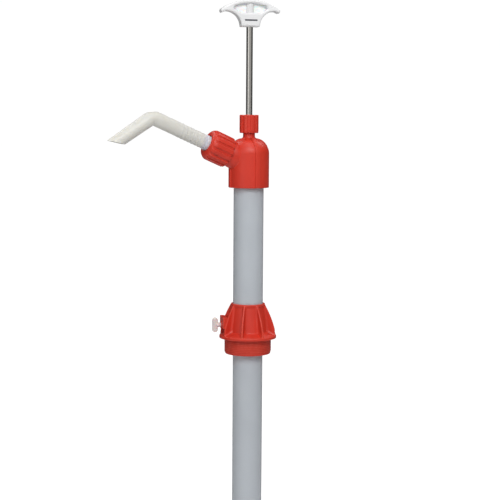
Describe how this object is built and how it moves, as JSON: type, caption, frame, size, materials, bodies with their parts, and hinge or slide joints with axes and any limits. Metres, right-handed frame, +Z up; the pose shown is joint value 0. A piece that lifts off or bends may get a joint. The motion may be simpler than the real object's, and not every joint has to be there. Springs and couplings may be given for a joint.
{
  "type": "drum barrel pump",
  "caption": "Hand-operated barrel pump with a threaded bung adapter, a long plastic tube, a domed head with an angled spout, and a T handle on a lift rod.",
  "frame": {"origin": "centre of the bung adapter's flange, on the face that seats on the drum", "axes": "+Z up the pump tube towards the handle, the spout points along -X"},
  "size_m": [0.2274, 0.073, 1.1456],
  "materials": {
    "red_plastic": "moulded red polypropylene, fine matte texture",
    "tube_plastic": "milky translucent polyethylene",
    "spout_plastic": "natural polyethylene, slightly warm",
    "white_plastic": "moulded white plastic, satin",
    "screw_nylon": "natural nylon, slightly pink",
    "rod_steel": "ground stainless steel",
    "ball_steel": "polished stainless ball",
    "seal_rubber": "black rubber",
    "packing_rubber": "black packing rings",
    "ring_ptfe": "white low-friction plastic",
    "valve_plastic": "natural polypropylene"
  },
  "bodies": {
    "adapter": {"bung_adapter": "red_plastic"},
    "thumb_screw": {"thumb_screw": "screw_nylon"},
    "seal": {"adapter_seal": "seal_rubber"},
    "barrel": {"tube": "tube_plastic", "head": "red_plastic", "tube_o_ring": "seal_rubber", "rod_packing": "packing_rubber", "gland_follower": "valve_plastic", "spout_gasket": "seal_rubber", "foot_valve_body": "valve_plastic", "foot_o_ring": "seal_rubber", "foot_ball_guard": "valve_plastic", "foot_strainer": "valve_plastic"},
    "packing_nut": {"packing_nut": "red_plastic"},
    "spout_nut": {"spout_nut": "red_plastic"},
    "spout": {"spout": "spout_plastic"},
    "piston_ring": {"piston_ring": "ring_ptfe"},
    "rod": {"rod": "rod_steel", "handle": "white_plastic", "piston_body": "valve_plastic", "piston_jam_nut": "rod_steel"},
    "piston_ball": {"piston_ball": "ball_steel"},
    "foot_ball": {"foot_ball": "ball_steel"}
  },
  "joints": [
    {"name": "tube_turn", "type": "hinge", "parent": "adapter", "child": "seal", "pos_m": [0, 0, 0.03], "axis": [0, 0, 1], "continuous": true},
    {"name": "tube_height", "type": "slide", "parent": "seal", "child": "barrel", "axis": [0, 0, 1], "range_m": [-0.146, 0.6]},
    {"name": "thumb_screw_turn", "type": "hinge", "parent": "adapter", "child": "thumb_screw", "pos_m": [-0.02904, 0.00751, 0.017], "axis": [-0.9681, 0.2504, 0], "range_deg": [0, 720]},
    {"name": "packing_nut_turn", "type": "hinge", "parent": "barrel", "child": "packing_nut", "pos_m": [0, 0, 0.272], "axis": [0, 0, 1], "range_deg": [-30, 180]},
    {"name": "spout_nut_turn", "type": "hinge", "parent": "barrel", "child": "spout_nut", "pos_m": [0, 0, 0.2231], "axis": [-0.9171, 0, 0.3987], "range_deg": [0, 180]},
    {"name": "spout_swivel", "type": "hinge", "parent": "barrel", "child": "spout", "pos_m": [0, 0, 0.2231], "axis": [-0.9171, 0, 0.3987], "continuous": true},
    {"name": "handle_stroke", "type": "slide", "parent": "barrel", "child": "piston_ring", "axis": [0, 0, 1], "range_m": [-0.108, 0.19]},
    {"name": "handle_turn", "type": "hinge", "parent": "piston_ring", "child": "rod", "pos_m": [0, 0, 0.4], "axis": [0, 0, 1], "continuous": true},
    {"name": "piston_valve_lift", "type": "slide", "parent": "rod", "child": "piston_ball", "axis": [0, 0, 1], "range_m": [0, 0.0045]},
    {"name": "foot_valve_lift", "type": "slide", "parent": "barrel", "child": "foot_ball", "axis": [0, 0, 1], "range_m": [0, 0.007]}
  ]
}
